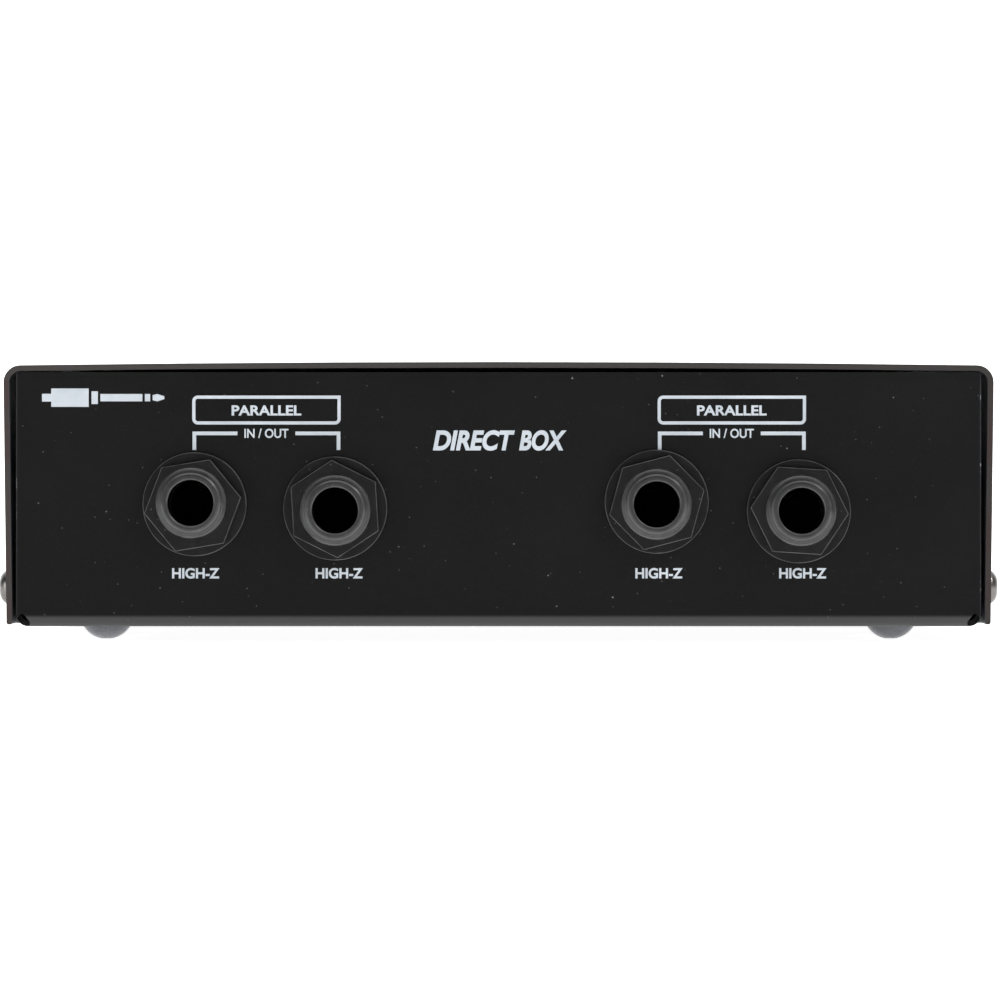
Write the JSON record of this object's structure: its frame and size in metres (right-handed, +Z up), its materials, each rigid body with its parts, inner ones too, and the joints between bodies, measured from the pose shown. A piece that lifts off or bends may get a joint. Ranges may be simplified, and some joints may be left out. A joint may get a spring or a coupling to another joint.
{
  "type": "direct injection box",
  "caption": "Passive direct injection box in a black folded steel case, with parallel phone jacks in front and XLR outputs with pad and lift switches behind.",
  "frame": {"origin": "middle of the footprint, on the surface the feet stand on", "axes": "+Z up, +X to the right seen from the front, the jack panel faces -Y"},
  "size_m": [0.1436, 0.1078, 0.0397],
  "materials": {
    "panel_paint": "fine-textured satin black powder coat",
    "cover_paint": "fine-textured satin black powder coat",
    "screw_zinc": "black zinc",
    "foot_rubber": "smoke-grey translucent polyurethane",
    "jack_plastic": "black glass-filled nylon",
    "nut_plastic": "black moulded nylon",
    "washer_metal": "blackened steel",
    "contact_metal": "nickel-plated spring bronze",
    "socket_metal": "nickel-plated zinc die casting",
    "socket_plastic": "black moulded plastic",
    "bright_zinc": "bright zinc",
    "switch_moulding": "black moulded plastic",
    "switch_lever": "black moulded plastic with grip ridges",
    "board_green": "green solder mask on glass-epoxy",
    "core_steel": "stacked silicon-steel laminations",
    "bobbin_nylon": "black nylon",
    "coil_tape": "yellow polyester tape",
    "resistor_lacquer": "tan lacquer",
    "capacitor_case": "red moulded plastic",
    "wire_pvc": "red PVC insulation",
    "legend": "white screen-printed ink"
  },
  "bodies": {
    "box": {"chassis_tray": "panel_paint", "top_cover": "cover_paint", "cover_screws": "screw_zinc", "foot_1": "foot_rubber", "foot_2": "foot_rubber", "foot_3": "foot_rubber", "foot_4": "foot_rubber", "jack_1_housing": "jack_plastic", "jack_1_contacts": "contact_metal", "jack_1_washer": "washer_metal", "jack_1_nut": "nut_plastic", "jack_2_housing": "jack_plastic", "jack_2_contacts": "contact_metal", "jack_2_washer": "washer_metal", "jack_2_nut": "nut_plastic", "jack_3_housing": "jack_plastic", "jack_3_contacts": "contact_metal", "jack_3_washer": "washer_metal", "jack_3_nut": "nut_plastic", "jack_4_housing": "jack_plastic", "jack_4_contacts": "contact_metal", "jack_4_washer": "washer_metal", "jack_4_nut": "nut_plastic", "xlr_1_shell": "socket_metal", "xlr_1_insert": "socket_plastic", "xlr_1_pins": "contact_metal", "transformer_1_core": "core_steel", "transformer_1_bobbin": "bobbin_nylon", "transformer_1_winding": "coil_tape", "xlr_2_shell": "socket_metal", "xlr_2_insert": "socket_plastic", "xlr_2_pins": "contact_metal", "transformer_2_core": "core_steel", "transformer_2_bobbin": "bobbin_nylon", "transformer_2_winding": "coil_tape", "xlr_screws": "screw_zinc", "xlr_nuts": "bright_zinc", "transformer_pins": "contact_metal", "lift_switch_1_case": "switch_moulding", "lift_switch_2_case": "switch_moulding", "pad_switch_1_case": "switch_moulding", "pad_switch_2_case": "switch_moulding", "switch_terminals": "contact_metal", "switch_screws": "screw_zinc", "switch_wires": "wire_pvc", "main_board": "board_green", "board_standoffs": "bright_zinc", "board_screws": "bright_zinc", "pad_resistors": "resistor_lacquer", "lift_capacitors": "capacitor_case"},
    "jack_1_leaf": {"jack_1_tip_spring": "contact_metal"},
    "jack_2_leaf": {"jack_2_tip_spring": "contact_metal"},
    "jack_3_leaf": {"jack_3_tip_spring": "contact_metal"},
    "jack_4_leaf": {"jack_4_tip_spring": "contact_metal"},
    "lift_switch_1_lever": {"lift_switch_1_slider": "switch_lever"},
    "lift_switch_2_lever": {"lift_switch_2_slider": "switch_lever"},
    "pad_switch_1_lever": {"pad_switch_1_slider": "switch_lever"},
    "pad_switch_2_lever": {"pad_switch_2_slider": "switch_lever"}
  },
  "joints": [
    {"name": "jack_1_tip_lift", "type": "hinge", "parent": "box", "child": "jack_1_leaf", "pos_m": [-0.04379, -0.0392, 0.02471], "axis": [0.9796, 0, 0.2011], "range_deg": [0, 7.2], "stiffness_Nm_per_rad": 0.1, "springref_deg": -5.73},
    {"name": "jack_2_tip_lift", "type": "hinge", "parent": "box", "child": "jack_2_leaf", "pos_m": [-0.02349, -0.0392, 0.02365], "axis": [0.9796, 0, 0.2011], "range_deg": [0, 7.2], "stiffness_Nm_per_rad": 0.1, "springref_deg": -5.73},
    {"name": "jack_3_tip_lift", "type": "hinge", "parent": "box", "child": "jack_3_leaf", "pos_m": [0.02176, -0.0392, 0.0245], "axis": [0.9796, 0, 0.2011], "range_deg": [0, 7.2], "stiffness_Nm_per_rad": 0.1, "springref_deg": -5.73},
    {"name": "jack_4_tip_lift", "type": "hinge", "parent": "box", "child": "jack_4_leaf", "pos_m": [0.04211, -0.0392, 0.02361], "axis": [0.9796, 0, 0.2011], "range_deg": [0, 7.2], "stiffness_Nm_per_rad": 0.1, "springref_deg": -5.73},
    {"name": "lift_switch_1_slide", "type": "slide", "parent": "box", "child": "lift_switch_1_lever", "axis": [0, 0, 1], "range_m": [0, 0.003]},
    {"name": "lift_switch_2_slide", "type": "slide", "parent": "box", "child": "lift_switch_2_lever", "axis": [0, 0, 1], "range_m": [0, 0.003]},
    {"name": "pad_switch_1_slide", "type": "slide", "parent": "box", "child": "pad_switch_1_lever", "axis": [0, 0, 1], "range_m": [0, 0.006]},
    {"name": "pad_switch_2_slide", "type": "slide", "parent": "box", "child": "pad_switch_2_lever", "axis": [0, 0, 1], "range_m": [0, 0.006]}
  ]
}
